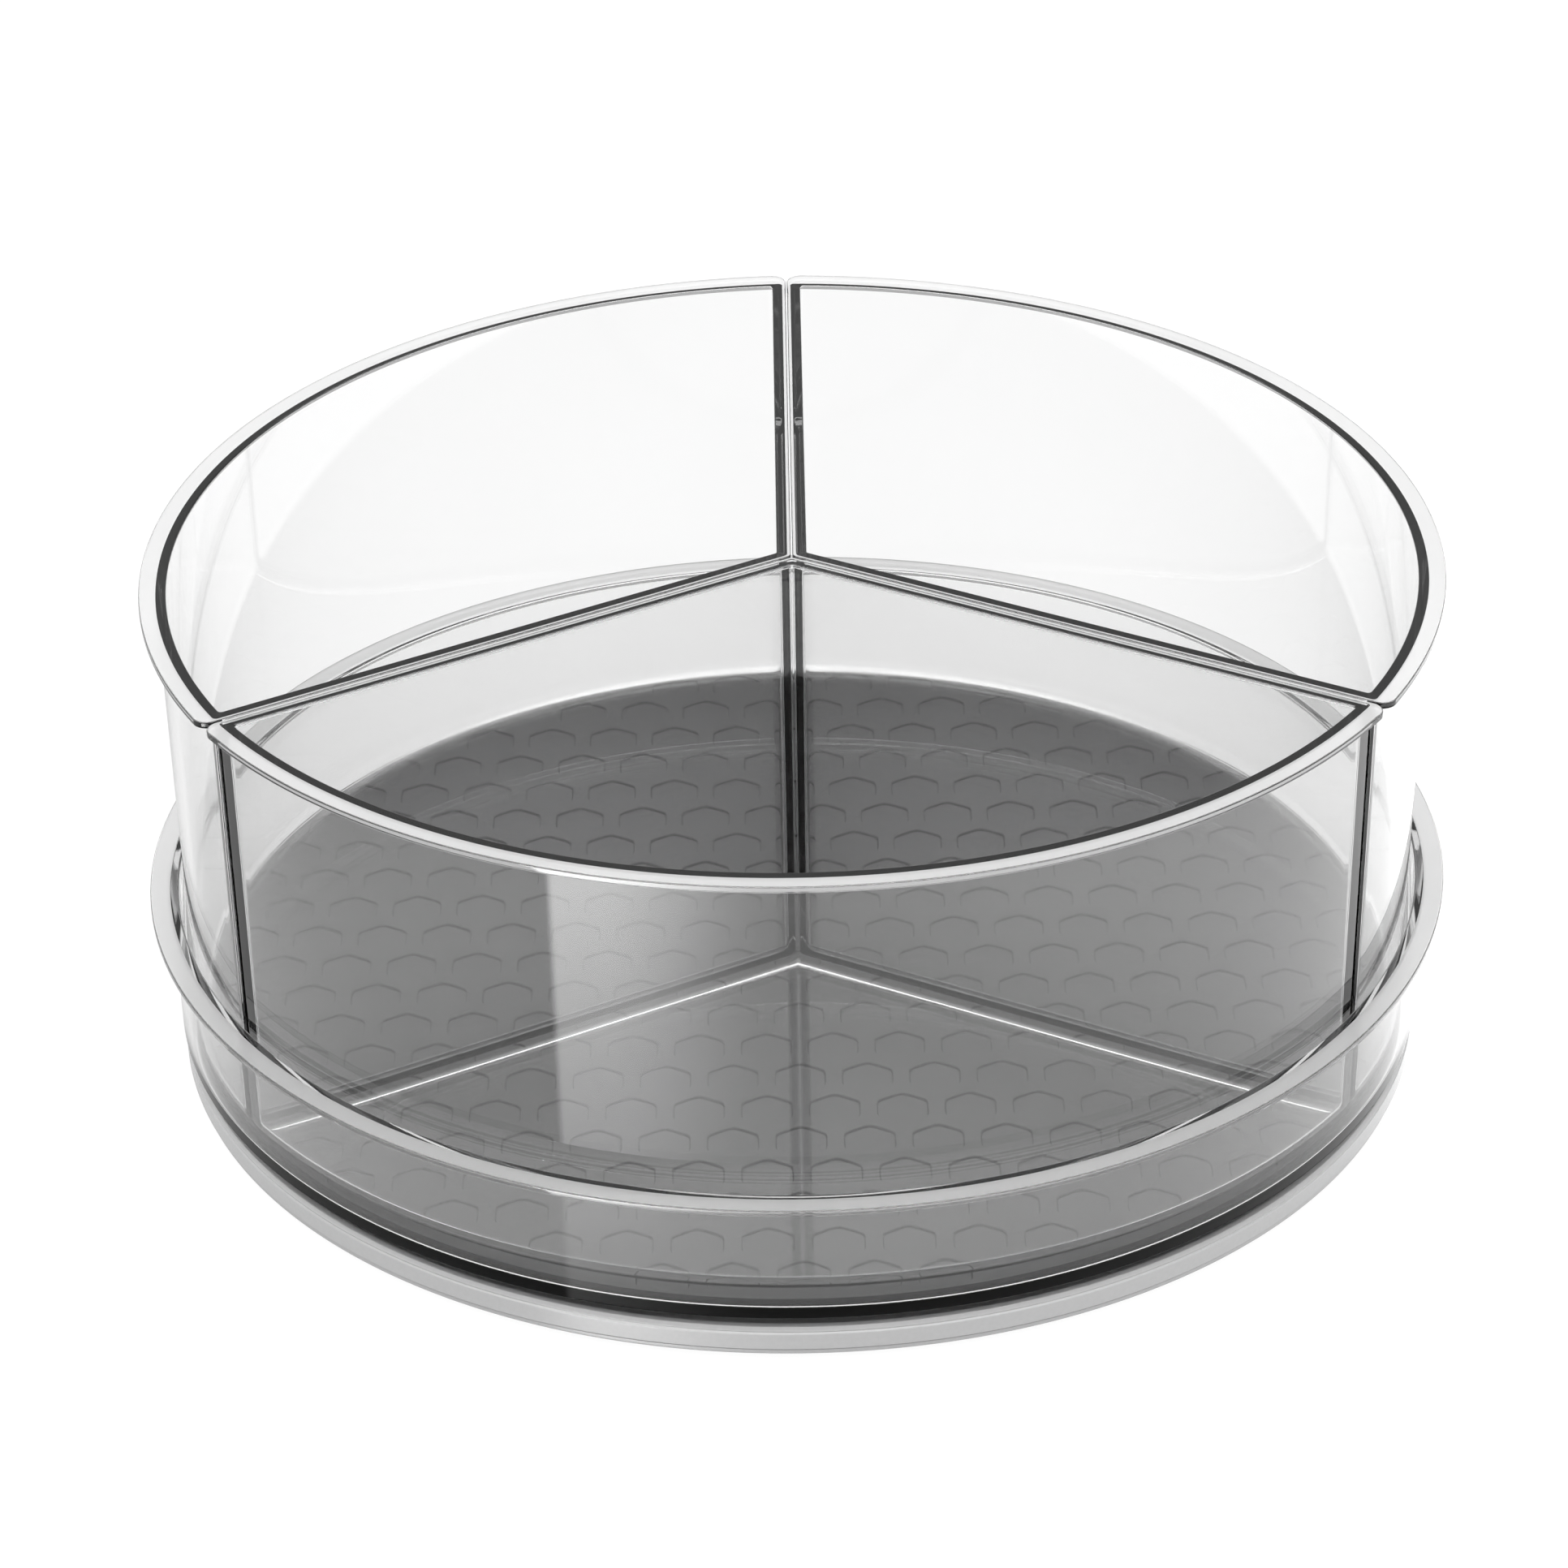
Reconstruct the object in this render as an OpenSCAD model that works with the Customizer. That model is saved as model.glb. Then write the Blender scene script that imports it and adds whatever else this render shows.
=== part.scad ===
// Lazy susan turntable with three lift-out bins.
//
// A round base stands on rubber feet and carries a clear tray on a ring of caged balls. A soft
// hexagon-pocket liner covers the tray's floor, and three clear 120 degree bins stand on it, rim
// to rim. A screw and washer on the base's centre post keep the tray from lifting off.
//
// Millimetres. The origin is the centre of the footprint at the underside of the feet, +Z is up
// and the first bin faces -Y, the front.

/* [Base] */
// Outside radius of the base ring
base_r = 142.9; // [120:0.1:160]
// Height of the base ring, from its lower lip to its top edge
base_h = 7; // [5:0.1:12]
// Thickness of the base's wall and floor
base_t = 2; // [1.5:0.1:4]
// How far the base's floor is raised above its lower lip
base_floor_lift = 1; // [0.5:0.1:3]
// Height of the narrow lip under the ring's face
base_lip_h = 1.1; // [0.5:0.1:2]
// How far the lip is set back from the ring's face
base_lip_inset = 0.7; // [0.2:0.1:2]
// Size of the bevel on the ring's top edge
base_bevel = 0.8; // [0.3:0.1:1.5]

/* [Feet] */
// Number of rubber feet
foot_count = 6; // [3:1:8]
// Radius of a foot
foot_r = 6; // [4:0.5:10]
// Distance from the middle to a foot
foot_pitch_r = 124; // [100:1:132]
// How far a foot stands below the base ring
foot_drop = 1.2; // [0.8:0.1:3]
// Depth of a foot's pocket in the base's floor
foot_pocket = 0.8; // [0.4:0.1:1.2]

/* [Tray] */
// Radius of the tray's flat rim
tray_rim_r = 149; // [125:0.1:165]
// Outside radius of the wall just under the rim
tray_wall_top_r = 144.4; // [120:0.1:160]
// Outside radius of the wall at its foot
tray_wall_foot_r = 143.5; // [120:0.1:160]
// Thickness of the tray's wall
tray_wall = 1.9; // [1.2:0.1:3]
// Thickness of the tray's floor
tray_floor = 2; // [1.5:0.1:3]
// Thickness of the rim
tray_rim_t = 1.5; // [1:0.1:3]
// Height of the tray, from the underside of its floor to its rim
tray_h = 31.5; // [20:0.5:60]
// Open gap between the base ring and the tray's floor
shadow_gap = 2.8; // [1.5:0.1:5]

/* [Liner] */
// Radius of the non-slip liner
liner_r = 139.6; // [110:0.1:155]
// Thickness of the liner
liner_t = 1.4; // [1:0.1:3]
// Distance between the centres of two pockets in a row
hex_pitch = 15.2; // [8:0.1:25]
// Width of a pocket across its flats
hex_flats = 11.8; // [5:0.1:22]
// Depth of a pocket
hex_depth = 0.7; // [0.2:0.1:1]
// Plain border round the pockets
liner_border = 1.2; // [0.5:0.1:5]

/* [Bins] */
// Height of a bin
bin_h = 105.8; // [60:0.1:150]
// Distance from the middle to the front of a bin's rim
bin_rim_r = 146.2; // [120:0.1:160]
// Distance from the middle to the wall's outside, just under the rim
bin_top_r = 142.4; // [115:0.1:158]
// Distance from the middle to the wall's outside, at its foot
bin_foot_r = 139.3; // [110:0.1:155]
// How far behind the middle the outer arcs are centred, which flattens them a little
arc_back = 3.6; // [0:0.1:15]
// Gap between the rims of two bins
rim_gap = 0.3; // [0.3:0.05:2]
// Distance from the seam between two bins to a radial wall, just under the rim
seam_top = 1; // [1:0.05:4]
// Distance from the seam between two bins to a radial wall, at its foot
seam_foot = 0.8; // [0.5:0.05:8]
// Thickness of a bin's wall
bin_wall = 2.4; // [1.5:0.1:4]
// Thickness of a bin's floor
bin_floor = 2; // [1.5:0.1:4]
// Thickness of the flat rim
bin_rim_t = 1.6; // [1:0.1:3]
// Radius of the rim's two outer corners, seen from above
rim_corner_r = 3.5; // [2:0.1:12]
// Radius of the wall's two outer corners, seen from above
wall_corner_r = 1; // [0.8:0.1:12]
// Radius inside the bin between the wall and the floor
bin_inner_fillet = 3; // [1:0.1:8]
// Radius outside the bin between the wall and the floor
bin_outer_fillet = 5; // [1:0.1:8]
// The same along the radial walls, as a share of that radius
seam_fillet_share = 0.3; // [0.1:0.05:1]

/* [Bearing] */
// Number of balls
ball_count = 12; // [8:1:24]
// Radius of a ball
ball_r = 3; // [2:0.25:4]
// Radius of the circle that the balls run on
race_r = 105; // [60:1:125]
// Half the width of the ribs that hold the races
race_half_w = 6; // [4:0.5:10]
// Thickness of the ball cage
cage_t = 1; // [0.8:0.1:2]
// Running clearance of a ball in its races and its cage
ball_clear = 0.06; // [0.01:0.01:0.1]
// Radius of the centre post
post_r = 5; // [4:0.1:8]
// Running clearance of the tray on the post
post_clear = 0.06; // [0.01:0.01:0.1]
// Radius of the washer that keeps the tray on
washer_r = 9; // [6:0.1:14]
// Thickness of the washer
washer_t = 0.8; // [0.5:0.1:2]
// Radius of the screw's shank
screw_r = 1.5; // [1:0.1:3]
// Radius of the screw's head
screw_head_r = 3.2; // [2:0.1:6]
// Height of the screw's head
screw_head_h = 2; // [1:0.1:3]

/* [Hidden] */
$fn = 96;
bin_count = 3;
wedge_half = 60;                               // half of a bin's angle
front_azimuth = 270;                           // the first bin faces -Y
edge_round = 0.4;                              // rounding on thin edges
body_gap = 0.3;                                // between pieces that move apart
bin_apex_r = 1.5;                              // small radius at the bin's inner point
bin_inner_apex_r = 1.2;                        // the same, inside the bin
bin_inner_corner_r = 1;                        // inside the bin's two outer corners
outer_arc_steps = 40;
corner_steps = 6;
apex_steps = 4;
fillet_steps = 4;

base_z = foot_drop;
base_top_z = base_z + base_h;
base_floor_z = base_z + base_floor_lift;
base_floor_top_z = base_floor_z + base_t;
foot_top_z = base_floor_z + foot_pocket;

tray_z = base_top_z + shadow_gap;
tray_floor_top_z = tray_z + tray_floor;
tray_top_z = tray_z + tray_h;
tray_fillet_out = 0.6;
tray_fillet_in = 1.2;
liner_z = tray_floor_top_z;
bin_z = liner_z + liner_t + body_gap;

ball_z = (base_floor_top_z + tray_z) / 2;      // the balls run midway between the two floors
race_groove_r = ball_r + ball_clear;
race_rib_gap = 1.2;                            // from the balls' middle to a rib
cup_wall = 2;
cup_r = 15.5;                                  // outside of the recess in the tray's centre
cup_floor_z = base_floor_top_z + 2;
cup_floor_top_z = cup_floor_z + cup_wall;
post_top_z = cup_floor_top_z + 0.4;
washer_bore_r = screw_r + 0.1;
washer_top_z = post_top_z + washer_t;
screw_tip_z = base_floor_top_z;
pilot_end_z = screw_tip_z - 0.4;

BALLS = [for (i = [1 : ball_count]) str("ball_", i)];
FEET = [for (i = [1 : foot_count]) str("foot_", i)];
BINS = [for (i = [1 : bin_count]) str("bin_", i)];

grey_plastic = [0.74, 0.74, 0.75];
clear_plastic = [0.88, 0.92, 0.94, 0.4];
liner_grey = [0.43, 0.43, 0.44];
rubber_grey = [0.22, 0.22, 0.23];
cage_white = [0.9, 0.9, 0.88];
steel = [0.7, 0.7, 0.72];

// ---- helpers ----

// Points of an arc about centre c, from angle a0 to a1 in the given number of steps.
function arc(c, r, a0, a1, steps) =
    [for (i = [0 : steps]) c + r * [cos(a0 + (a1 - a0) * i / steps), sin(a0 + (a1 - a0) * i / steps)]];

// A list without its first point.
function tail(points) = [for (i = [1 : len(points) - 1]) points[i]];

// A list without its first and last points.
function middle(points) = [for (i = [1 : len(points) - 2]) points[i]];

// Children turned to each of n places round a circle of radius r, the first one on +X.
module ring_of(n, r) {
    for (i = [0 : n - 1])
        rotate([0, 0, 360 * i / n])
            translate([r, 0, 0])
                children();
}

// Half of the section through the ring of balls: the space that a race's groove takes away.
module race_groove() {
    translate([race_r, ball_z])
        circle(r = race_groove_r);
}

// ---- base ----

module base_section() {
    lip_r = base_r - base_lip_inset;
    inner_r = base_r - base_t;
    difference() {
        polygon([
            [0, base_floor_z],
            [lip_r - base_t, base_floor_z],
            [lip_r - base_t, base_z],
            [lip_r, base_z],
            [lip_r, base_z + base_lip_h],
            [base_r, base_z + base_lip_h + edge_round / 2],
            [base_r, base_top_z - base_bevel],
            [base_r - base_bevel, base_top_z],
            [inner_r - edge_round, base_top_z],
            [inner_r - edge_round, base_floor_top_z],
            [race_r + race_half_w, base_floor_top_z],
            [race_r + race_half_w, ball_z - race_rib_gap],
            [race_r - race_half_w, ball_z - race_rib_gap],
            [race_r - race_half_w, base_floor_top_z],
            [post_r, base_floor_top_z],
            [post_r, post_top_z],
            [0, post_top_z]
        ]);
        race_groove();
    }
}

module base() {
    color(grey_plastic)
        difference() {
            rotate_extrude()
                base_section();
            translate([0, 0, pilot_end_z])
                cylinder(r = screw_r, h = post_top_z);
            ring_of(foot_count, foot_pitch_r)
                translate([0, 0, base_z])
                    cylinder(r = foot_r, h = foot_top_z - base_z);
        }
}

module foot(i) {
    color(rubber_grey)
        rotate([0, 0, 360 * (i - 1) / foot_count])
            translate([foot_pitch_r, 0, 0]) {
                cylinder(r1 = foot_r - edge_round, r2 = foot_r, h = edge_round);
                translate([0, 0, edge_round])
                    cylinder(r = foot_r, h = foot_top_z - edge_round);
            }
}

// ---- bearing ----

module ball(i) {
    color(steel)
        rotate([0, 0, 360 * (i - 1) / ball_count])
            translate([race_r, 0, ball_z])
                sphere(r = ball_r);
}

module ball_cage() {
    color(cage_white)
        translate([0, 0, ball_z - cage_t / 2])
            difference() {
                cylinder(r = race_r + race_half_w, h = cage_t);
                translate([0, 0, -cage_t])
                    cylinder(r = race_r - race_half_w, h = 3 * cage_t);
                ring_of(ball_count, race_r)
                    translate([0, 0, -cage_t])
                        cylinder(r = race_groove_r, h = 3 * cage_t, $fn = 48);
            }
}

module hub_washer() {
    color(steel)
        translate([0, 0, post_top_z])
            difference() {
                cylinder(r = washer_r, h = washer_t);
                translate([0, 0, -washer_t])
                    cylinder(r = washer_bore_r, h = 3 * washer_t, $fn = 48);
            }
}

module hub_screw() {
    slot_w = 0.9;
    slot_l = 3.8;
    slot_d = 1.1;
    color(steel)
        difference() {
            union() {
                translate([0, 0, screw_tip_z])
                    cylinder(r = screw_r, h = washer_top_z - screw_tip_z, $fn = 48);
                translate([0, 0, washer_top_z])
                    cylinder(r = screw_head_r, h = screw_head_h - edge_round, $fn = 48);
                translate([0, 0, washer_top_z + screw_head_h - edge_round])
                    cylinder(r1 = screw_head_r, r2 = screw_head_r - edge_round, h = edge_round, $fn = 48);
            }
            for (a = [0, 90])
                rotate([0, 0, a])
                    translate([-slot_l / 2, -slot_w / 2, washer_top_z + screw_head_h - slot_d])
                        cube([slot_l, slot_w, screw_head_h]);
        }
}

// ---- tray and liner ----

module tray_section() {
    wall_in = tray_wall;
    floor_in_r = tray_wall_foot_r - wall_in;
    difference() {
        polygon(concat(
            [
                [post_r + post_clear, cup_floor_z],
                [cup_r, cup_floor_z],
                [cup_r, tray_z],
                [race_r - race_half_w, tray_z],
                [race_r - race_half_w, ball_z + race_rib_gap],
                [race_r + race_half_w, ball_z + race_rib_gap],
                [race_r + race_half_w, tray_z]
            ],
            arc([tray_wall_foot_r - tray_fillet_out, tray_z + tray_fillet_out], tray_fillet_out, -90, 0, fillet_steps),
            [
                [tray_wall_top_r, tray_top_z - tray_rim_t],
                [tray_rim_r - edge_round, tray_top_z - tray_rim_t],
                [tray_rim_r, tray_top_z - tray_rim_t + edge_round],
                [tray_rim_r, tray_top_z - edge_round],
                [tray_rim_r - edge_round, tray_top_z],
                [tray_wall_top_r - wall_in + edge_round, tray_top_z],
                [tray_wall_top_r - wall_in, tray_top_z - edge_round]
            ],
            arc([floor_in_r - tray_fillet_in, tray_floor_top_z + tray_fillet_in], tray_fillet_in, 0, -90, fillet_steps),
            [
                [cup_r - cup_wall, tray_floor_top_z],
                [cup_r - cup_wall, cup_floor_top_z],
                [post_r + post_clear, cup_floor_top_z]
            ]
        ));
        race_groove();
    }
}

module tray() {
    color(clear_plastic)
        rotate_extrude()
            tray_section();
}

// The liner's pockets: hexagons with a corner towards the front, in rows half a pitch apart.
module hex_pockets() {
    row_pitch = hex_pitch * sin(60);
    rows = ceil(liner_r / row_pitch);
    columns = ceil(liner_r / hex_pitch) + 1;
    pocket_r = hex_flats / 2 / cos(30);
    intersection() {
        circle(r = liner_r - liner_border);
        for (row = [-rows : rows], column = [-columns : columns]) {
            x = (column + (row % 2 == 0 ? 0 : 0.5)) * hex_pitch;
            y = row * row_pitch;
            if (norm([x, y]) < liner_r - liner_border + pocket_r / 3)
                translate([x, y])
                    rotate(30)
                        circle(r = pocket_r, $fn = 6);
        }
    }
}

module liner() {
    color(liner_grey)
        translate([0, 0, liner_z]) {
            cylinder(r = liner_r, h = liner_t - hex_depth);
            translate([0, 0, liner_t - hex_depth])
                linear_extrude(hex_depth)
                    difference() {
                        circle(r = liner_r);
                        hex_pockets();
                    }
        }
}

// ---- bins ----

// Outline of a rounded 120 degree wedge, with its point at the middle and its bisector on +X.
// seam is the distance from each seam to the wedge's straight side, and reach is the distance
// from the middle to the outer arc along the bisector.
function wedge(seam, reach, corner_r, apex_r) =
    let (
        arc_r = reach + arc_back,
        side = seam + corner_r,
        b = -arc_back * cos(wedge_half),
        c = side * side + arc_back * arc_back + 2 * arc_back * side * sin(wedge_half)
            - pow(arc_r - corner_r, 2),
        along = b + sqrt(b * b - c),
        corner = along * [cos(wedge_half), sin(wedge_half)]
            + side * [sin(wedge_half), -cos(wedge_half)],
        swing = atan2(corner.y, corner.x + arc_back),
        outward = wedge_half + 90,
        apex = [(seam + apex_r) / sin(wedge_half), 0]
    )
    concat(
        arc([-arc_back, 0], arc_r, -swing, swing, outer_arc_steps),
        tail(arc(corner, corner_r, swing, outward, corner_steps)),
        arc(apex, apex_r, outward, 360 - outward, apex_steps),
        middle(concat([corner], arc([corner.x, -corner.y], corner_r, 360 - outward, 360 - swing, corner_steps)))
    );

// The bin's wall at height z above its foot, moved inwards by inset, or by seam_inset along the
// radial walls.
function wall_ring(z, inset, seam_inset, corner_r, apex_r) =
    let (f = z / (bin_h - bin_rim_t))
    [
        for (p = wedge(
            seam_foot + (seam_top - seam_foot) * f + seam_inset,
            bin_foot_r + (bin_top_r - bin_foot_r) * f - inset,
            corner_r, apex_r
        )) [p.x, p.y, z]
    ];

// The rim's edge at height z, moved inwards by inset.
function rim_ring(z, inset) =
    [
        for (p = wedge(rim_gap / 2 + inset, bin_rim_r - inset, rim_corner_r - inset, bin_apex_r - inset))
            [p.x, p.y, z]
    ];

function outer_ring(z, inset, seam_inset) =
    wall_ring(z, inset, seam_inset, wall_corner_r, bin_apex_r);

function inner_ring(z, inset) =
    wall_ring(z, bin_wall + inset, bin_wall + inset, bin_inner_corner_r, bin_inner_apex_r);

// All the outlines of a bin's skin: up the outside, over the rim and down the inside.
function bin_rings() =
    let (
        out_r = bin_outer_fillet,
        in_r = bin_inner_fillet,
        quarter = [for (i = [0 : fillet_steps]) 90 * i / fillet_steps]
    )
    concat(
        [
            for (a = quarter)
                let (inset = out_r * (1 - sin(a)))
                outer_ring(out_r * (1 - cos(a)), inset, inset * seam_fillet_share)
        ],
        [
            outer_ring(bin_h - bin_rim_t, 0, 0),
            rim_ring(bin_h - bin_rim_t, edge_round),
            rim_ring(bin_h - bin_rim_t + edge_round, 0),
            rim_ring(bin_h - edge_round, 0),
            rim_ring(bin_h, edge_round),
            inner_ring(bin_h, -edge_round),
            inner_ring(bin_h - edge_round, 0)
        ],
        [for (a = quarter) inner_ring(bin_floor + in_r * (1 - sin(a)), in_r * (1 - cos(a)))]
    );

module bin(i) {
    rings = bin_rings();
    n = len(rings[0]);
    last = len(rings) - 1;
    skin = [
        for (k = [0 : last - 1], j = [0 : n - 1])
            let (a = k * n + j, b = k * n + (j + 1) % n)
            each [[a, a + n, b + n], [a, b + n, b]]
    ];
    underside = [for (j = [0 : n - 1]) j];
    inside_floor = [for (j = [n - 1 : -1 : 0]) last * n + j];
    color(clear_plastic)
        rotate([0, 0, front_azimuth + 360 * (i - 1) / bin_count])
            translate([0, 0, bin_z])
                polyhedron(
                    points = [for (ring = rings) each ring],
                    faces = concat(skin, [underside, inside_floor]),
                    convexity = 6
                );
}

// ---- assembly ----

base();
tray();
liner();
ball_cage();
hub_washer();
hub_screw();
for (i = [1 : foot_count]) foot(i);
for (i = [1 : ball_count]) ball(i);
for (i = [1 : bin_count]) bin(i);
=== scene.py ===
"""Lazy susan turntable: finished surfaces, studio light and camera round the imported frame."""

from math import atan2, cos, degrees, pi, radians, sin, sqrt

import bmesh
import bpy
from mathutils import Matrix, Vector


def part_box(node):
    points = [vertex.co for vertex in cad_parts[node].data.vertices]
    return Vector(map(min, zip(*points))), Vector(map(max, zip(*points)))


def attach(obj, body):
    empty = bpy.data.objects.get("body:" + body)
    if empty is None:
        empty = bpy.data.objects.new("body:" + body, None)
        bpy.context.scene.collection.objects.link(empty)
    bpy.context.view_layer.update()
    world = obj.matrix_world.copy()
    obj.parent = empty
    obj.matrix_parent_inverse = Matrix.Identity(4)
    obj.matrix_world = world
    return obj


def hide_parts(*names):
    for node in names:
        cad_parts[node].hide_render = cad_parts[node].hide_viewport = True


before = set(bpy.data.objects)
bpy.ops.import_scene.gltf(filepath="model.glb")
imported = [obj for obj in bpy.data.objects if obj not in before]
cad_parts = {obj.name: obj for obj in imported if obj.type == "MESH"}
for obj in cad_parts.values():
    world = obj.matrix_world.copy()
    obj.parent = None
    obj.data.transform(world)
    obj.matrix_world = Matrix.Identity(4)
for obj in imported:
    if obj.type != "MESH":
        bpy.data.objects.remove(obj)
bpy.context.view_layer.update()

MM = 0.001
scene = bpy.context.scene

# ---- sizes, in millimetres, as in the part ----

TURN_STEPS = 360              # segments of a full turn
ROUND_STEPS = 5               # segments of a small rounded corner
POCKET_STEPS = 36             # segments round a pocket of the liner
EDGE = 0.4                    # added to the wall of the base ring on its inside
RIM_EDGE = 0.35               # rounding of the edges of the rims

BASE_R, BASE_H, BASE_T, BASE_LIFT = 142.9, 7.0, 2.0, 1.0
BASE_LIP_H, BASE_LIP_INSET, BASE_BEVEL, BASE_BEAD = 1.1, 0.7, 0.8, 0.35
POST_R, POST_CLEAR = 5.0, 0.06
RACE_R, RACE_HALF_W, RACE_GROOVE_R, RACE_RIB_GAP = 105.0, 6.0, 3.06, 1.2
CUP_R, CUP_WALL = 15.5, 2.0

TRAY_RIM_R, TRAY_TOP_R, TRAY_FOOT_R = 149.0, 144.4, 143.5
TRAY_WALL, TRAY_FLOOR, TRAY_RIM_T = 1.9, 2.0, 1.5
TRAY_FILLET_OUT, TRAY_FILLET_IN = 0.6, 1.2

LINER_R, LINER_BORDER = 139.6, 1.2
HEX_PITCH, HEX_FLATS, HEX_DEPTH = 15.2, 11.8, 0.7
HEX_SLIVER = 3.0              # a pocket whose middle is nearer to the border is left out

BIN_RIM_R, BIN_TOP_R, BIN_FOOT_R = 146.2, 142.4, 139.3
ARC_BACK, RIM_GAP, SEAM_TOP, SEAM_FOOT = 3.6, 0.3, 1.0, 0.8
BIN_WALL, BIN_FLOOR, BIN_RIM_T = 2.4, 2.0, 1.6
RIM_CORNER_R, WALL_CORNER_R, BIN_APEX_R, INNER_APEX_R = 3.5, 1.0, 1.5, 1.2
INNER_CORNER_R = 1.0
BIN_FILLET_IN, BIN_FILLET_OUT, SEAM_FILLET_SHARE = 3.0, 5.0, 0.3
WEDGE_HALF = 60
FRONT_AZIMUTH = 270


def levels(node):
    """Lowest and highest z of a CAD node, in millimetres."""
    low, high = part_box(node)
    return low[2] / MM, high[2] / MM


ball_low, ball_high = levels("ball_1")
BALL_Z = (ball_low + ball_high) / 2
BASE_Z, POST_TOP_Z = levels("base")
BASE_TOP_Z = BASE_Z + BASE_H
BASE_FLOOR_Z = BASE_Z + BASE_LIFT
BASE_FLOOR_TOP_Z = BASE_FLOOR_Z + BASE_T
CUP_Z, TRAY_TOP_Z = levels("tray")
CUP_TOP_Z = CUP_Z + CUP_WALL
LINER_Z, LINER_TOP_Z = levels("liner")
TRAY_Z = LINER_Z - TRAY_FLOOR
BIN_Z, BIN_TOP_Z = levels("bin_1")
BIN_H = BIN_TOP_Z - BIN_Z


# ---- shapes ----

def arc(centre, r, a0, a1, steps):
    """Points of an arc about centre from angle a0 to a1, in degrees."""
    turns = [radians(a0 + (a1 - a0) * k / steps) for k in range(steps + 1)]
    return [(centre[0] + r * cos(a), centre[1] + r * sin(a)) for a in turns]


def rounded(corners):
    """A closed outline from corners (x, y, radius), each corner rounded to its radius."""
    points = []
    for i, (x, y, r) in enumerate(corners):
        if r == 0:
            points.append((x, y))
            continue
        corner = Vector((x, y))
        before = (Vector(corners[i - 1][:2]) - corner).normalized()
        after = (Vector(corners[(i + 1) % len(corners)][:2]) - corner).normalized()
        half = before.angle(after) / 2
        centre = corner + (before + after).normalized() * (r / sin(half))
        first = corner + before * (r / sin(half) * cos(half)) - centre
        last = corner + after * (r / sin(half) * cos(half)) - centre
        a0, a1 = degrees(atan2(first.y, first.x)), degrees(atan2(last.y, last.x))
        swing = (a1 - a0 + 180) % 360 - 180
        points += arc(centre, r, a0, a0 + swing, ROUND_STEPS)
    return points


def finish_mesh(name, verts, faces, body, node, painted_highlight_faces=()):
    """A smooth piece from millimetre points, which rides on a body and stands for a CAD node.
    The faces given in the last argument take the piece's second material, which paints a highlight on
    them."""
    mesh = bpy.data.meshes.new(name)
    mesh.from_pydata([Vector(v) * MM for v in verts], [], faces)
    for k in painted_highlight_faces:
        mesh.polygons[k].material_index = 1
    bm = bmesh.new()
    bm.from_mesh(mesh)
    bmesh.ops.remove_doubles(bm, verts=bm.verts, dist=1e-6)
    bmesh.ops.dissolve_degenerate(bm, edges=bm.edges, dist=1e-7)
    bmesh.ops.recalc_face_normals(bm, faces=bm.faces)
    bm.to_mesh(mesh)
    bm.free()
    mesh.shade_smooth()
    mesh.set_sharp_from_angle(angle=radians(40))
    piece = bpy.data.objects.new(name, mesh)
    scene.collection.objects.link(piece)
    weigh = piece.modifiers.new("weighted_normals", "WEIGHTED_NORMAL")
    weigh.keep_sharp = True
    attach(piece, body)
    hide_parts(node)
    return piece


def revolve(name, profile, body, node, painted_highlight_from=None):
    """A closed profile of (radius, z) points turned about the spin axis.
    The profile's side that starts nearest to the last argument's point takes the second material, a
    painted highlight."""
    n = len(profile)
    verts, faces, painted_highlight_faces = [], [], []
    if painted_highlight_from:
        side = min(range(n), key=lambda j: (Vector(profile[j]) - Vector(painted_highlight_from)).length)
        painted_highlight_faces = [k * n + side for k in range(TURN_STEPS)]
    for k in range(TURN_STEPS):
        a = 2 * pi * k / TURN_STEPS
        verts += [(r * cos(a), r * sin(a), z) for r, z in profile]
        here, there = k * n, (k + 1) % TURN_STEPS * n
        faces += [(here + j, here + (j + 1) % n, there + (j + 1) % n, there + j) for j in range(n)]
    return finish_mesh(name, verts, faces, body, node, painted_highlight_faces)


def groove(above):
    """The race groove's arc in the (radius, z) plane: above the balls or below them."""
    reach = sqrt(RACE_GROOVE_R ** 2 - RACE_RIB_GAP ** 2)
    dip = degrees(atan2(RACE_RIB_GAP, reach))
    if above:
        return arc((RACE_R, BALL_Z), RACE_GROOVE_R, 180 - dip, dip, 12)
    return arc((RACE_R, BALL_Z), RACE_GROOVE_R, -dip, dip - 180, 12)


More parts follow.
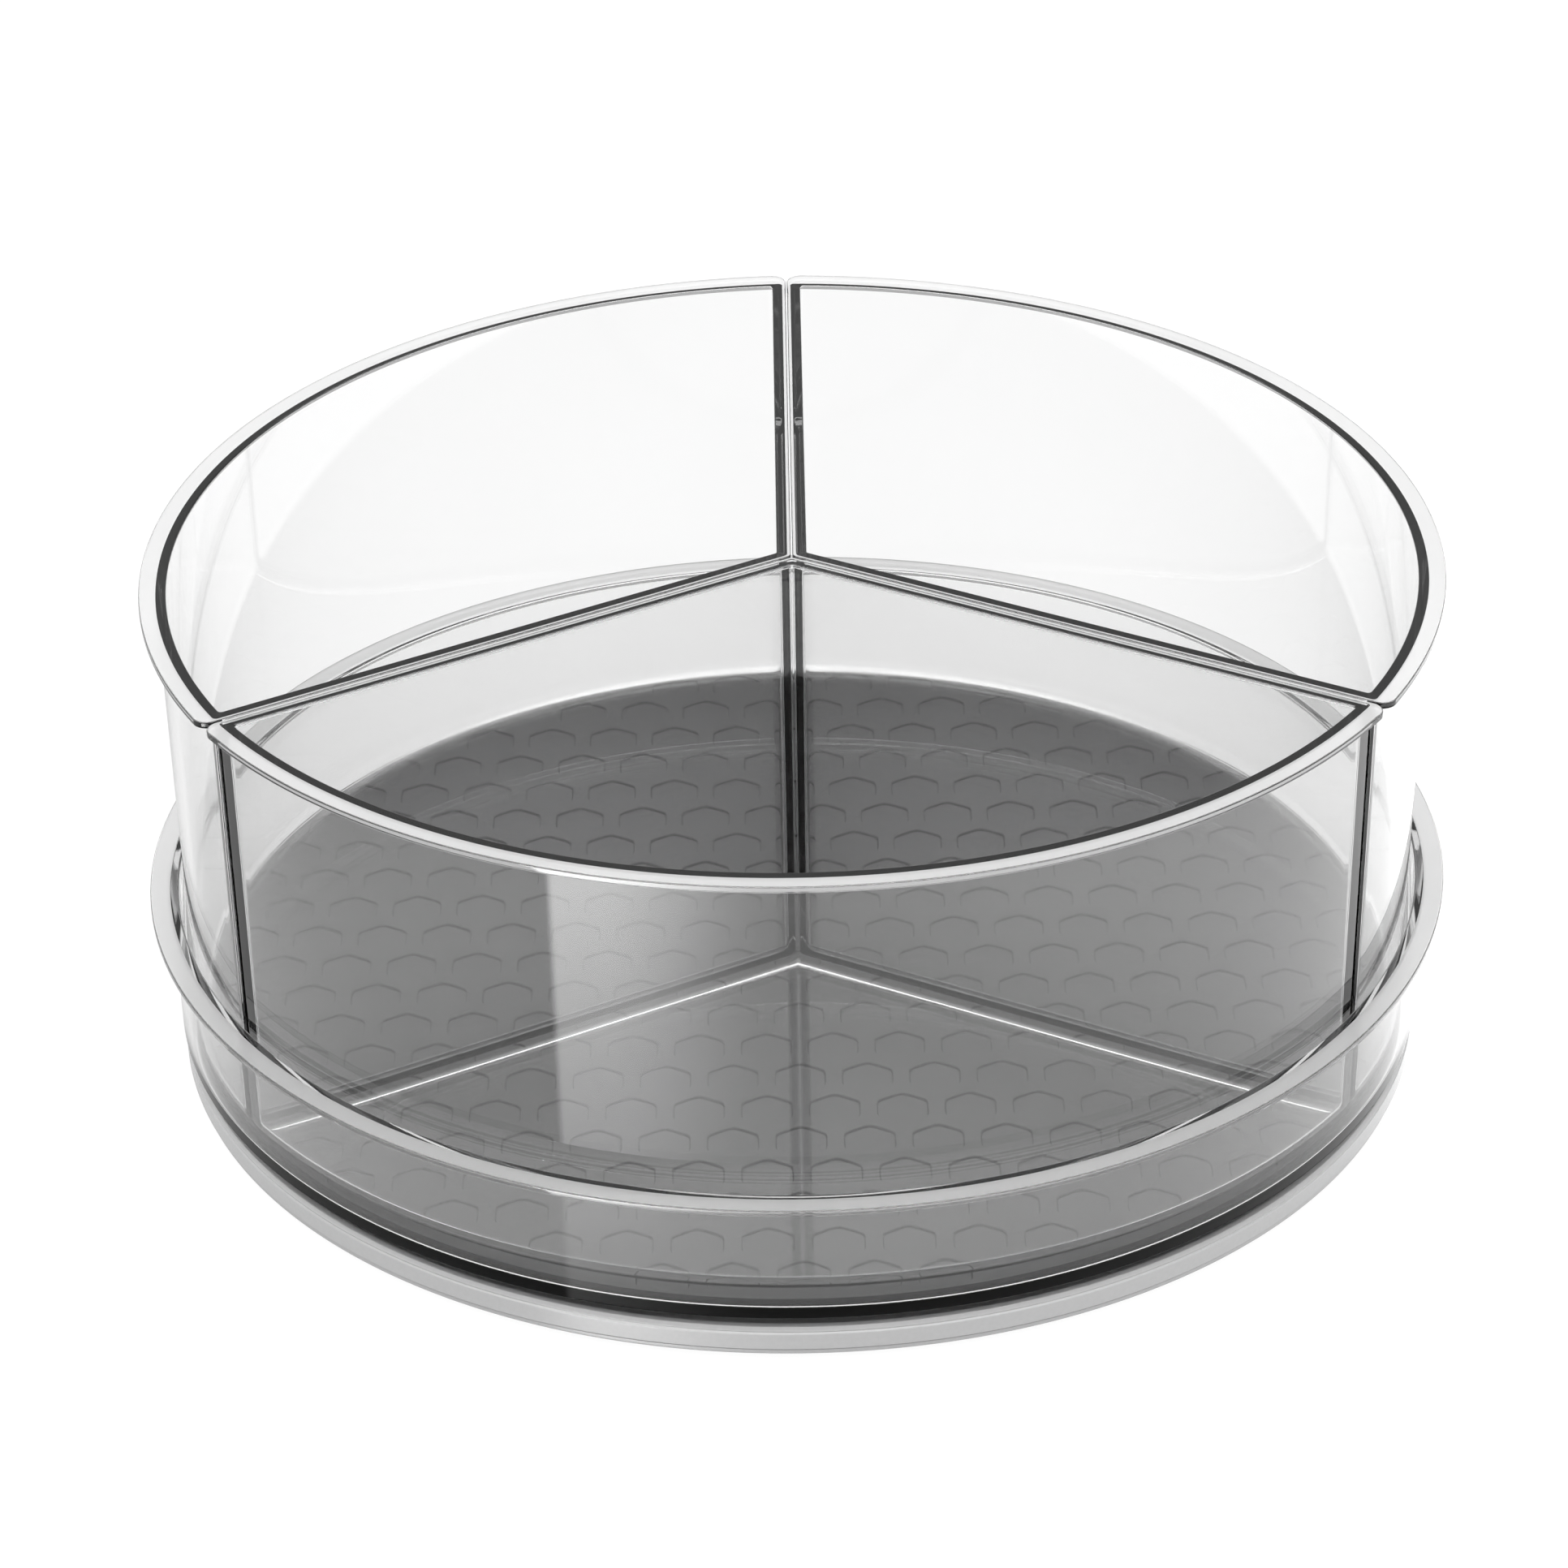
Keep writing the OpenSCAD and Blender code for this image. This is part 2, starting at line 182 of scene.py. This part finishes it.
def make_base():
    """Foot lip with a shadow line above it, ring wall, floor with the lower race rib, centre post."""
    lip_r = BASE_R - BASE_LIP_INSET
    inner_r = BASE_R - BASE_T - EDGE
    bead_z = BASE_TOP_Z - BASE_BEVEL    # a small bead and groove run along the ring's top edge
    outside = rounded([
        (0, BASE_FLOOR_Z, 0),
        (lip_r - BASE_T, BASE_FLOOR_Z, 0.3),
        (lip_r - BASE_T, BASE_Z, 0.3),
        (lip_r, BASE_Z, 0.4),
        (lip_r, BASE_Z + BASE_LIP_H, 0.12),
        (lip_r - 0.6, BASE_Z + BASE_LIP_H + 0.2, 0.1),
        (BASE_R - 0.1, BASE_Z + BASE_LIP_H + 0.5, 0.25),
        (BASE_R, bead_z - 2 * BASE_BEAD, 0.3),
        (BASE_R - 0.4, bead_z - BASE_BEAD, 0.12),
        (BASE_R - 0.2, bead_z, 0.12),
        (BASE_R - BASE_BEVEL, BASE_TOP_Z, 0.3),
        (inner_r, BASE_TOP_Z, 0.3),
        (inner_r, BASE_FLOOR_TOP_Z, 0.6),
        (RACE_R + RACE_HALF_W, BASE_FLOOR_TOP_Z, 0.4),
        (RACE_R + RACE_HALF_W, BALL_Z - RACE_RIB_GAP, 0.3),
    ])
    inside = rounded([
        (RACE_R - RACE_HALF_W, BALL_Z - RACE_RIB_GAP, 0),
        (RACE_R - RACE_HALF_W, BASE_FLOOR_TOP_Z, 0),
        (POST_R, BASE_FLOOR_TOP_Z, 0),
        (POST_R, POST_TOP_Z, 0),
        (0, POST_TOP_Z, 0),
    ])
    return revolve("base_moulding", outside + groove(above=False) + inside, "base", "base")


def make_tray():
    """Rim whose flat top takes a painted highlight, wall, floor with the upper race rib, hub cup."""
    floor_r = TRAY_FOOT_R - TRAY_WALL
    rim_under = TRAY_TOP_Z - TRAY_RIM_T
    hub = [
        (POST_R + POST_CLEAR, CUP_TOP_Z),
        (POST_R + POST_CLEAR, CUP_Z),
        (CUP_R, CUP_Z),
        (CUP_R, TRAY_Z),
        (RACE_R - RACE_HALF_W, TRAY_Z),
        (RACE_R - RACE_HALF_W, BALL_Z + RACE_RIB_GAP),
    ]
    outside = rounded([
        (RACE_R + RACE_HALF_W, BALL_Z + RACE_RIB_GAP, 0),
        (RACE_R + RACE_HALF_W, TRAY_Z, 0),
        (TRAY_FOOT_R - 0.05, TRAY_Z, TRAY_FILLET_OUT),
        (TRAY_TOP_R, rim_under, 0.5),
        (TRAY_RIM_R, rim_under, RIM_EDGE),
        (TRAY_RIM_R, TRAY_TOP_Z, RIM_EDGE),
        (TRAY_TOP_R, TRAY_TOP_Z, 0),
        (TRAY_TOP_R - TRAY_WALL, TRAY_TOP_Z, 0.45),
        (floor_r, LINER_Z, TRAY_FILLET_IN),
        (CUP_R - CUP_WALL, LINER_Z, 0.3),
        (CUP_R - CUP_WALL, CUP_TOP_Z, 0),
    ])
    rim_edge = (TRAY_RIM_R - RIM_EDGE, TRAY_TOP_Z)
    return revolve("tray_moulding", hub + groove(above=True) + outside, "turntable", "tray", rim_edge)


def wedge(seam, reach, corner_r, apex_r):
    """Outline of a rounded 120 degree wedge with its point at the middle and its bisector on +X."""
    half, out = radians(WEDGE_HALF), WEDGE_HALF + 90
    arc_r, side = reach + ARC_BACK, seam + corner_r
    b = ARC_BACK * cos(half)
    c = side ** 2 + ARC_BACK ** 2 + 2 * ARC_BACK * side * sin(half) - (arc_r - corner_r) ** 2
    along = sqrt(b * b - c) - b
    x, y = along * cos(half) + side * sin(half), along * sin(half) - side * cos(half)
    swing = degrees(atan2(y, x + ARC_BACK))
    apex = ((seam + apex_r) / sin(half), 0)
    return (
        arc((-ARC_BACK, 0), arc_r, -swing, swing, 96)
        + arc((x, y), corner_r, swing, out, 12)[1:]
        + arc(apex, apex_r, out, 360 - out, 8)
        + arc((x, -y), corner_r, 360 - out, 360 - swing, 12)[:-1]
    )


def wall_ring(z, inset, seam_inset, corner_r, apex_r):
    """The bin's drafted wall at height z above its foot, moved inwards by inset,
    or by seam_inset along the radial walls."""
    f = z / (BIN_H - BIN_RIM_T)
    seam = SEAM_FOOT + (SEAM_TOP - SEAM_FOOT) * f + seam_inset
    reach = BIN_FOOT_R + (BIN_TOP_R - BIN_FOOT_R) * f - inset
    return [(x, y, z) for x, y in wedge(seam, reach, corner_r, apex_r)]


def rim_ring(z, inset):
    """The edge of the bin's rim at height z above its foot, moved inwards by inset."""
    outline = wedge(RIM_GAP / 2 + inset, BIN_RIM_R - inset, RIM_CORNER_R - inset, BIN_APEX_R - inset)
    return [(x, y, z) for x, y in outline]


def quarter(steps):
    """Angles of a quarter turn."""
    return [pi / 2 * k / steps for k in range(steps + 1)]


def bin_rings():
    """All outlines of a bin's skin, up the outside, over the rim and down the inside,
    and the number of the one from which the rim's flat top runs to the wall."""
    def outer(z, inset):
        return wall_ring(z, inset, inset * SEAM_FILLET_SHARE, WALL_CORNER_R, BIN_APEX_R)

    def inner(z, inset):
        return wall_ring(z, BIN_WALL + inset, BIN_WALL + inset, INNER_CORNER_R, INNER_APEX_R)

    wide, small = quarter(8), quarter(4)
    under, edge = BIN_H - BIN_RIM_T, RIM_EDGE
    rings = [outer(BIN_FILLET_OUT * (1 - cos(a)), BIN_FILLET_OUT * (1 - sin(a))) for a in wide]
    rings += [outer(under, 0)]
    rings += [rim_ring(under + edge * (1 - cos(a)), edge * (1 - sin(a))) for a in small]
    rings += [rim_ring(BIN_H - edge * (1 - sin(a)), edge * (1 - cos(a))) for a in small]
    top = len(rings) - 1
    rings += [outer(BIN_H, 0)]
    rings += [inner(BIN_H - edge * (1 - cos(a)), -edge * (1 - sin(a))) for a in small]
    rings += [inner(BIN_FLOOR + BIN_FILLET_IN * (1 - sin(a)), BIN_FILLET_IN * (1 - cos(a))) for a in wide]
    return rings, top


def make_bin(i):
    """Bin i of the three; the flat top of its rim takes a painted highlight."""
    azimuth = radians(FRONT_AZIMUTH + 120 * (i - 1))
    turn = Matrix.Rotation(azimuth, 3, "Z")
    rings, top = bin_rings()
    n = len(rings[0])
    verts = [turn @ Vector(p) + Vector((0, 0, BIN_Z)) for ring in rings for p in ring]
    # the rim's flat top faces take the painted highlight material
    painted_highlight_faces = range(top * n, (top + 1) * n)
    faces = []
    for k in range(len(rings) - 1):
        here, there = k * n, (k + 1) * n
        faces += [(here + j, here + (j + 1) % n, there + (j + 1) % n, there + j) for j in range(n)]
    last = (len(rings) - 1) * n
    faces += [tuple(reversed(range(n))), tuple(range(last, last + n))]
    return finish_mesh(f"bin_{i}_moulding", verts, faces, f"bin_{i}", f"bin_{i}", painted_highlight_faces)


def pocket_outline(x, y, inset):
    """Outline of a soft-cornered hexagon pocket at (x, y), cut off at the liner's plain border."""
    softness = 16                  # higher is a sharper corner
    limit = LINER_R - LINER_BORDER - inset
    sides = [radians(60 * k) for k in range(6)]
    points = []
    for k in range(POCKET_STEPS):
        a = 2 * pi * k / POCKET_STEPS
        along = x * cos(a) + y * sin(a)
        reach = [(HEX_FLATS / 2 - inset) / cos(a - side) for side in sides if cos(a - side) > 0.05]
        reach.append(sqrt(along ** 2 - x * x - y * y + limit ** 2) - along)
        t = sum(r ** -softness for r in reach) ** (-1 / softness)
        points.append((x + t * cos(a), y + t * sin(a)))
    return points


def pocket_centres():
    """Middles of the pockets, in rows that are shifted by half a pitch in turn."""
    row_pitch = HEX_PITCH * sin(radians(60))
    rows, columns = int(LINER_R / row_pitch) + 1, int(LINER_R / HEX_PITCH) + 2
    for row in range(-rows, rows + 1):
        for column in range(-columns, columns + 1):
            x, y = (column + row % 2 / 2) * HEX_PITCH, row * row_pitch
            if sqrt(x * x + y * y) < LINER_R - LINER_BORDER - HEX_SLIVER:
                yield x, y


def make_liner():
    """A flat mat with hexagon pockets: soft upper edges, sloped walls and flat floors."""
    # the pockets' walls and the mat's upper edge, as (inset, drop) from its top
    wall = [(0, 0), (0.1, 0.03), (0.2, 0.15), (0.3, 0.4), (0.38, 0.62), (0.6, HEX_DEPTH)]
    edge = [(0, 0.25), (0.07, 0.07), (0.25, 0)]
    bm = bmesh.new()

    def ring(points, z):
        return [bm.verts.new((x * MM, y * MM, z * MM)) for x, y in points]

    def skin(lower, upper):
        n = len(lower)
        for j in range(n):
            bm.faces.new((lower[j], lower[(j + 1) % n], upper[(j + 1) % n], upper[j]))

    outer = [ring(arc((0, 0), LINER_R, 0, 359, 359), LINER_Z)]
    for inset, drop in edge:
        outer.append(ring(arc((0, 0), LINER_R - inset, 0, 359, 359), LINER_TOP_Z - drop))
    for lower, upper in zip(outer, outer[1:]):
        skin(lower, upper)
    bm.faces.new(reversed(outer[0]))
    rims = [outer[-1]]
    for middle in pocket_centres():
        rings = [ring(pocket_outline(*middle, inset), LINER_TOP_Z - drop) for inset, drop in wall]
        for upper, lower in zip(rings, rings[1:]):
            skin(lower, upper)
        bm.faces.new(rings[-1])
        rims.append(rings[0])
    borders = [bm.edges.get((rim[j - 1], rim[j])) for rim in rims for j in range(len(rim))]
    bmesh.ops.triangle_fill(bm, use_beauty=False, use_dissolve=False, edges=borders)
    verts = [vert.co / MM for vert in bm.verts]
    bm.verts.index_update()
    faces = [[vert.index for vert in face.verts] for face in bm.faces]
    bm.free()
    return finish_mesh("liner_mat", verts, faces, "turntable", "liner")


# ---- materials ----

PLASTIC_DENSITY = 10          # absorption per metre, which darkens long paths inside the walls


class Nodes:
    """A new material's node tree, with short ways to add and join nodes."""

    def __init__(self, name):
        self.material = bpy.data.materials.new(name)
        self.material.use_nodes = True
        self.tree = self.material.node_tree
        self.shader = self.tree.nodes["Principled BSDF"]
        self.place = self.add("ShaderNodeTexCoord").outputs["Object"]

    def add(self, kind, **values):
        node = self.tree.nodes.new(kind)
        for key, value in values.items():
            setattr(node, key, value)
        return node

    def join(self, a, b):
        self.tree.links.new(a, b)

    def noise(self, scale, detail=2.0, rough=0.5):
        node = self.add("ShaderNodeTexNoise")
        node.inputs["Scale"].default_value = scale
        node.inputs["Detail"].default_value = detail
        node.inputs["Roughness"].default_value = rough
        self.join(self.place, node.inputs["Vector"])
        return node.outputs["Fac"]

    def spread(self, fac, low, high, start=0.3, end=0.7):
        """fac from start to end becomes low to high."""
        node = self.add("ShaderNodeMapRange")
        for key, value in (("From Min", start), ("From Max", end), ("To Min", low), ("To Max", high)):
            node.inputs[key].default_value = value
        self.join(fac, node.inputs["Value"])
        return node.outputs["Result"]

    def mix(self, fac, dark, light):
        """A colour between dark and light. The light one may be another node's output."""
        node = self.add("ShaderNodeMix", data_type="RGBA")
        mix_fac, mix_a, mix_b = node.inputs[0], node.inputs[6], node.inputs[7]
        mix_a.default_value = (*dark, 1)
        if isinstance(light, tuple):
            mix_b.default_value = (*light, 1)
        else:
            self.join(light, mix_b)
        self.join(fac, mix_fac)
        return node.outputs[2]

    def bump(self, height, strength, distance):
        node = self.add("ShaderNodeBump")
        node.inputs["Strength"].default_value = strength
        node.inputs["Distance"].default_value = distance
        self.join(height, node.inputs["Height"])
        self.join(node.outputs["Normal"], self.shader.inputs["Normal"])

    def set(self, **values):
        for key, value in values.items():
            self.shader.inputs[key.replace("_", " ")].default_value = value


def clear_plastic(name):
    """Clear polished plastic, slightly uneven, that darkens where light runs far inside it."""
    m = Nodes(name)
    m.set(Metallic=0.0, Transmission_Weight=1.0, IOR=1.57)
    tint = m.mix(m.spread(m.noise(14, 2), 0, 1), (0.975, 0.975, 0.975), (0.99, 0.99, 0.99))
    m.join(tint, m.shader.inputs["Base Color"])
    m.join(m.spread(m.noise(60, 4, 0.6), 0.0, 0.03), m.shader.inputs["Roughness"])
    m.bump(m.noise(9, 1), 0.1, 0.0004)
    thick = m.add("ShaderNodeVolumeAbsorption")
    thick.inputs["Color"].default_value = (0.1, 0.1, 0.1, 1)
    thick.inputs["Density"].default_value = PLASTIC_DENSITY
    m.join(thick.outputs["Volume"], m.tree.nodes["Material Output"].inputs["Volume"])
    return m.material


def rim_painted_highlight():
    """Painted highlight: a whitish, half-clear surface on the flat tops of the rims, which stands in for
    the even bright bands that light makes there.
    """
    m = Nodes("rim_painted_highlight")
    m.set(Metallic=0.0, Transmission_Weight=0.5, IOR=1.57)
    # painted highlight: a pale grey colour with half transmission keeps the rim tops bright whatever
    # light falls on them
    m.join(m.mix(m.spread(m.noise(14, 2), 0, 1), (0.60, 0.60, 0.60), (0.64, 0.64, 0.64)),
           m.shader.inputs["Base Color"])
    m.join(m.spread(m.noise(60, 2, 0.5), 0.34, 0.4), m.shader.inputs["Roughness"])
    return m.material


def grey_plastic():
    m = Nodes("base_plastic")
    m.set(Metallic=0.0, IOR=1.5)
    tint = m.mix(m.spread(m.noise(900, 3), 0, 1), (0.50, 0.50, 0.502), (0.52, 0.52, 0.522))
    m.join(tint, m.shader.inputs["Base Color"])
    m.set(Specular_IOR_Level=0.8)
    m.join(m.spread(m.noise(700, 3), 0.2, 0.26), m.shader.inputs["Roughness"])
    m.bump(m.noise(1500, 3), 0.05, 0.00001)
    return m.material


def liner_rubber():
    """Grey rubber, darker on the walls of its pockets: painted shade where shade falls in them."""
    m = Nodes("liner_rubber")
    m.set(Metallic=0.0, IOR=1.45)
    tint = m.mix(m.spread(m.noise(1400, 3), 0, 1), (0.115, 0.115, 0.116), (0.14, 0.14, 0.141))
    # painted shade: steep faces, the pockets' walls, take a near-black colour as the shade inside the
    # pockets
    slope = m.add("ShaderNodeSeparateXYZ")
    m.join(m.add("ShaderNodeNewGeometry").outputs["Normal"], slope.inputs[0])
    level = m.spread(slope.outputs["Z"], 0, 1, 0.4, 0.95)
    m.join(m.mix(level, (0.03, 0.03, 0.03), tint), m.shader.inputs["Base Color"])
    m.join(m.spread(m.noise(500, 2), 0.5, 0.65), m.shader.inputs["Roughness"])
    m.bump(m.noise(1800, 3), 0.25, 0.00008)
    return m.material


def foot_rubber():
    m = Nodes("foot_rubber")
    m.set(Metallic=0.0, IOR=1.45)
    m.join(m.mix(m.spread(m.noise(900, 3), 0, 1), (0.02, 0.02, 0.021), (0.035, 0.035, 0.036)),
           m.shader.inputs["Base Color"])
    m.join(m.spread(m.noise(500, 2), 0.6, 0.75), m.shader.inputs["Roughness"])
    return m.material


def cage_plastic():
    m = Nodes("cage_plastic")
    m.set(Metallic=0.0, IOR=1.5)
    m.join(m.mix(m.spread(m.noise(300, 2), 0, 1), (0.74, 0.73, 0.70), (0.82, 0.81, 0.78)),
           m.shader.inputs["Base Color"])
    m.join(m.spread(m.noise(400, 2), 0.35, 0.5), m.shader.inputs["Roughness"])
    return m.material


def steel():
    m = Nodes("steel")
    m.set(Metallic=1.0)
    m.join(m.mix(m.spread(m.noise(200, 2), 0, 1), (0.55, 0.55, 0.56), (0.65, 0.65, 0.66)),
           m.shader.inputs["Base Color"])
    m.join(m.spread(m.noise(900, 3), 0.12, 0.25), m.shader.inputs["Roughness"])
    return m.material


def paint(piece, *materials):
    for material in materials:
        piece.data.materials.append(material)


def paint_node(name, material):
    """Gives a CAD node's object a material without touching its mesh."""
    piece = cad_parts[name]
    if not piece.material_slots:
        piece.data.materials.append(material)
    for place in piece.material_slots:
        place.material = material


# ---- the object ----

# the painted highlight for the flat tops of all rims
painted_rim_highlight = rim_painted_highlight()
tray = make_tray()
paint(tray, clear_plastic("tray_clear"), painted_rim_highlight)

base = make_base()
paint(base, grey_plastic())

bin_clear = clear_plastic("bin_clear")
for number in (1, 2, 3):
    made = make_bin(number)
    paint(made, bin_clear, painted_rim_highlight)

mat = make_liner()
paint(mat, liner_rubber())

rubber, white, metal = foot_rubber(), cage_plastic(), steel()
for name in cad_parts:
    if name.startswith("foot_"):
        paint_node(name, rubber)
    if name.startswith("ball_"):
        paint_node(name, white if name == "ball_cage" else metal)
    if name.startswith("hub_"):
        paint_node(name, metal)

# ---- floor, light and camera ----

FLOOR_HALF = 3.0
FLOOR_GLOW = 0.94             # the floor glows as well, so that it stays white round the object

TOP_LIGHT = 3.2               # a big soft light overhead
TOP_PLACE = (0.0, 0.05, 1.0)  # the direction in which it hangs
TOP_SPREAD = 0.6, 0.88        # cosines of the angles from its middle at which it begins and is full
SIDE_LIGHT = 0.5              # the rest of the studio above the horizon
HORIZON = 0.0, -0.05          # heights, on a unit sphere, at which it ends and the lights below begin

# Below the horizon the studio is only seen mirrored in the walls, where the photograph shows
# an upright strip of light with one sharp edge. Azimuths are in degrees from the front.
GROUND_LIGHT = 0.1            # far down
LOW_BAND = -0.63, -0.5        # heights at which the lights from here on begin and are full
LEFT_LIGHT = 0.7              # added all round
RIGHT_LIGHT = 1.1             # added right of the strip's sharp edge
STRIP_LIGHT = 9.0             # added at the strip's brightest place
STRIP_EDGE = -46, -44         # azimuths at which the strip begins and is full
STRIP_FADE = -4, -36          # azimuths at which its slow fade ends and begins

CAMERA_PLACE = (-0.0025755, -1.29544, 0.80204)
CAMERA_PITCH, CAMERA_ROLL, CAMERA_LENS = 29.757, -0.963, 149.07


def make_floor():
    """A plain white floor that glows a little and isn't mirrored in the object."""
    mesh = bpy.data.meshes.new("floor")
    corners = [(x * FLOOR_HALF, y * FLOOR_HALF, 0) for x, y in ((-1, -1), (1, -1), (1, 1), (-1, 1))]
    mesh.from_pydata(corners, [], [(0, 1, 2, 3)])
    floor = bpy.data.objects.new("floor", mesh)
    scene.collection.objects.link(floor)
    m = Nodes("floor_white")
    m.set(Roughness=0.9, Specular_IOR_Level=0.0)
    m.set(Emission_Color=(1, 1, 1, 1), Emission_Strength=FLOOR_GLOW)
    m.join(m.mix(m.noise(3, 2), (0.07, 0.07, 0.07), (0.08, 0.08, 0.08)), m.shader.inputs["Base Color"])
    paint(floor, m.material)
    floor.visible_glossy = False


def make_world():
    """The studio's light: soft overhead, even at the sides, and the strip below the horizon."""
    world = bpy.data.worlds.new("studio")
    world.use_nodes = True
    tree = world.node_tree
    background = tree.nodes["Background"]

    def maths(kind, a, b=None, c=None):
        node = tree.nodes.new("ShaderNodeMath")
        node.operation = kind
        for socket, value in zip(node.inputs, (a, b, c)):
            if isinstance(value, (int, float)):
                socket.default_value = value
            elif value is not None:
                tree.links.new(value, socket)
        return node.outputs[0]

    def ramp(value, start, end):
        """0 at start and 1 at end."""
        node = tree.nodes.new("ShaderNodeMapRange")
        node.interpolation_type = "SMOOTHSTEP"
        node.inputs["From Min"].default_value = start
        node.inputs["From Max"].default_value = end
        tree.links.new(value, node.inputs["Value"])
        return node.outputs["Result"]

    place = tree.nodes.new("ShaderNodeTexCoord").outputs["Generated"]
    split = tree.nodes.new("ShaderNodeSeparateXYZ")
    tree.links.new(place, split.inputs[0])
    x, y, z = split.outputs
    azimuth = maths("ARCTAN2", x, maths("MULTIPLY", y, -1))
    below = ramp(z, *HORIZON)
    right_of_edge = ramp(azimuth, *map(radians, STRIP_EDGE))
    fade = ramp(azimuth, *map(radians, STRIP_FADE))
    low = maths("MULTIPLY_ADD", fade, STRIP_LIGHT, RIGHT_LIGHT)
    low = maths("MULTIPLY_ADD", right_of_edge, low, LEFT_LIGHT)
    low = maths("MULTIPLY_ADD", low, ramp(z, *LOW_BAND), GROUND_LIGHT)
    facing = tree.nodes.new("ShaderNodeVectorMath")
    facing.operation = "DOT_PRODUCT"
    facing.inputs[1].default_value = Vector(TOP_PLACE).normalized()
    tree.links.new(place, facing.inputs[0])
    high = maths("MULTIPLY_ADD", ramp(facing.outputs["Value"], *TOP_SPREAD), TOP_LIGHT, SIDE_LIGHT)
    light = maths("MULTIPLY_ADD", below, maths("SUBTRACT", low, high), high)
    tree.links.new(light, background.inputs["Strength"])
    background.inputs["Color"].default_value = (1, 1, 1, 1)
    scene.world = world


def make_camera():
    """The photograph's view: from the front, 30 degrees down, with a slight roll."""
    pitch, roll = radians(CAMERA_PITCH), radians(CAMERA_ROLL)
    forward = Vector((0, cos(pitch), -sin(pitch)))
    level = Vector((1, 0, 0))
    upright = level.cross(forward)
    right = cos(roll) * level + sin(roll) * upright
    up = cos(roll) * upright - sin(roll) * level
    data = bpy.data.cameras.new("camera")
    data.sensor_width = 36
    data.lens = CAMERA_LENS
    camera = bpy.data.objects.new("camera", data)
    turn = Matrix((right, up, -forward)).transposed().to_4x4()
    camera.matrix_world = Matrix.Translation(CAMERA_PLACE) @ turn
    scene.collection.objects.link(camera)
    scene.camera = camera


make_floor()
make_world()
make_camera()

scene.view_settings.view_transform = "Standard"
scene.cycles.max_bounces = 32
scene.cycles.transmission_bounces = 32
scene.cycles.glossy_bounces = 12
scene.cycles.transparent_max_bounces = 16
